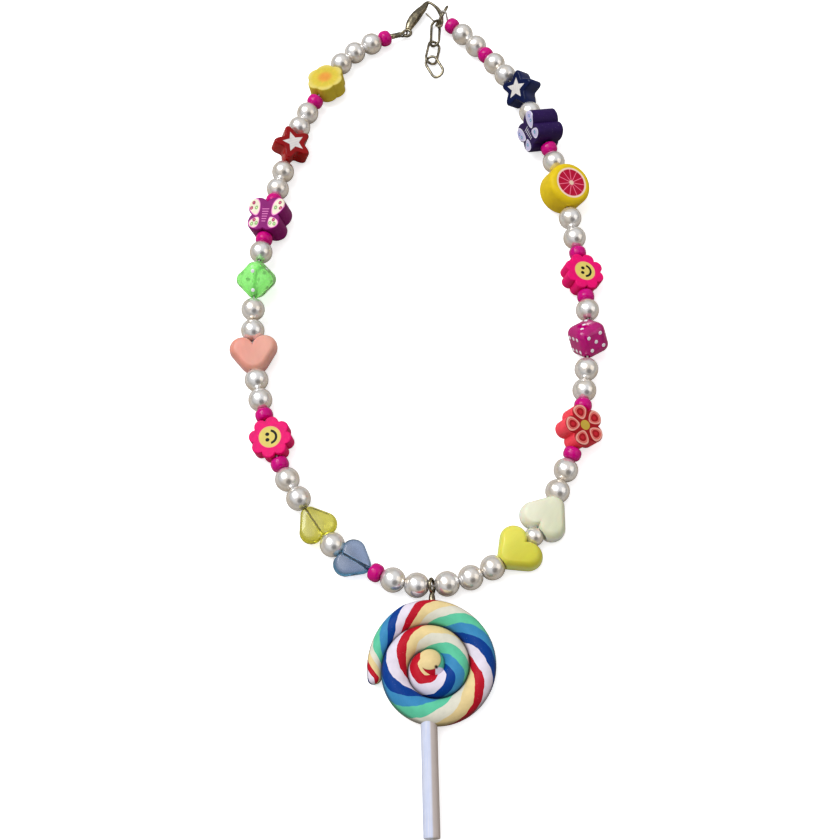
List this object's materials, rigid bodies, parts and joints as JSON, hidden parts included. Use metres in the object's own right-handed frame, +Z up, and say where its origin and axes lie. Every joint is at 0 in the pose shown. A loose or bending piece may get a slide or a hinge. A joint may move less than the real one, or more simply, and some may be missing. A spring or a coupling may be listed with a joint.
{
  "type": "bead necklace with lollipop pendant",
  "caption": "Bead necklace laid flat in an oval, with pearls, flower, heart, star, butterfly and dice beads, a clasp with extension chain, and a spiral lollipop pendant on a stick.",
  "frame": {"origin": "on the floor, under the middle of the necklace's bounding box", "axes": "+Z up from the floor, +Y along the necklace's length from the pendant towards the clasp, +X to the right as seen from above with the clasp at the far end"},
  "size_m": [0.097, 0.2382, 0.0121],
  "materials": {
    "string": "clear elastic string",
    "pearl": "pearl lacquer",
    "spacer": "glossy, slightly clear",
    "metal": "warm bright metal",
    "head": "polymer clay, coloured strands",
    "stick": "smooth white",
    "star_blue": "clear gloss",
    "butterfly_purple": "polymer clay",
    "citrus_slice": "polymer clay",
    "smiley_flower_right": "polymer clay",
    "smiley_flower_left": "polymer clay",
    "die_magenta": "clear tinted",
    "flower_red": "polymer clay",
    "heart_ivory": "milky",
    "heart_yellow": "milky",
    "heart_clear_blue": "clear tinted",
    "heart_clear_yellow": "clear tinted",
    "heart_salmon": "milky",
    "die_green": "clear tinted",
    "butterfly_magenta": "polymer clay",
    "star_red": "clear gloss",
    "flower_yellow": "polymer clay"
  },
  "bodies": {
    "strand": {"butterfly_magenta": "butterfly_magenta", "butterfly_purple": "butterfly_purple", "chain_link_1": "metal", "chain_link_2": "metal", "chain_link_3": "metal", "citrus_slice": "citrus_slice", "clasp": "metal", "clasp_lever": "metal", "cord_end": "metal", "die_green": "die_green", "die_magenta": "die_magenta", "flower_red": "flower_red", "flower_yellow": "flower_yellow", "heart_clear_blue": "heart_clear_blue", "heart_clear_yellow": "heart_clear_yellow", "heart_ivory": "heart_ivory", "heart_salmon": "heart_salmon", "heart_yellow": "heart_yellow", "jump_ring": "metal", "pearl_small": "pearl", "pearls_01": "pearl", "pearls_02": "pearl", "pearls_03": "pearl", "pearls_04": "pearl", "pearls_05": "pearl", "pearls_06": "pearl", "pearls_07": "pearl", "pearls_08": "pearl", "pearls_09": "pearl", "pearls_10": "pearl", "pearls_11": "pearl", "pearls_12": "pearl", "pearls_13": "pearl", "pearls_14": "pearl", "pearls_15": "pearl", "pearls_16": "pearl", "pearls_17": "pearl", "pearls_18": "pearl", "smiley_flower_left": "smiley_flower_left", "smiley_flower_right": "smiley_flower_right", "spacer_01": "spacer", "spacer_02": "spacer", "spacer_03": "spacer", "spacer_04": "spacer", "spacer_05": "spacer", "spacer_06": "spacer", "spacer_07": "spacer", "spacer_08": "spacer", "spacer_09": "spacer", "spacer_10": "spacer", "spacer_11": "spacer", "spacer_12": "spacer", "spacer_13": "spacer", "spacer_14": "spacer", "star_blue": "star_blue", "star_red": "star_red", "string": "string"},
    "pendant": {"eye_pin": "metal", "head": "head", "stick": "stick"}
  },
  "joints": [
    {"name": "pendant_swing", "type": "hinge", "parent": "strand", "child": "pendant", "pos_m": [0.00302, -0.06197, 0.00302], "axis": [-1, 0, 0], "range_deg": [0, 180]}
  ]
}
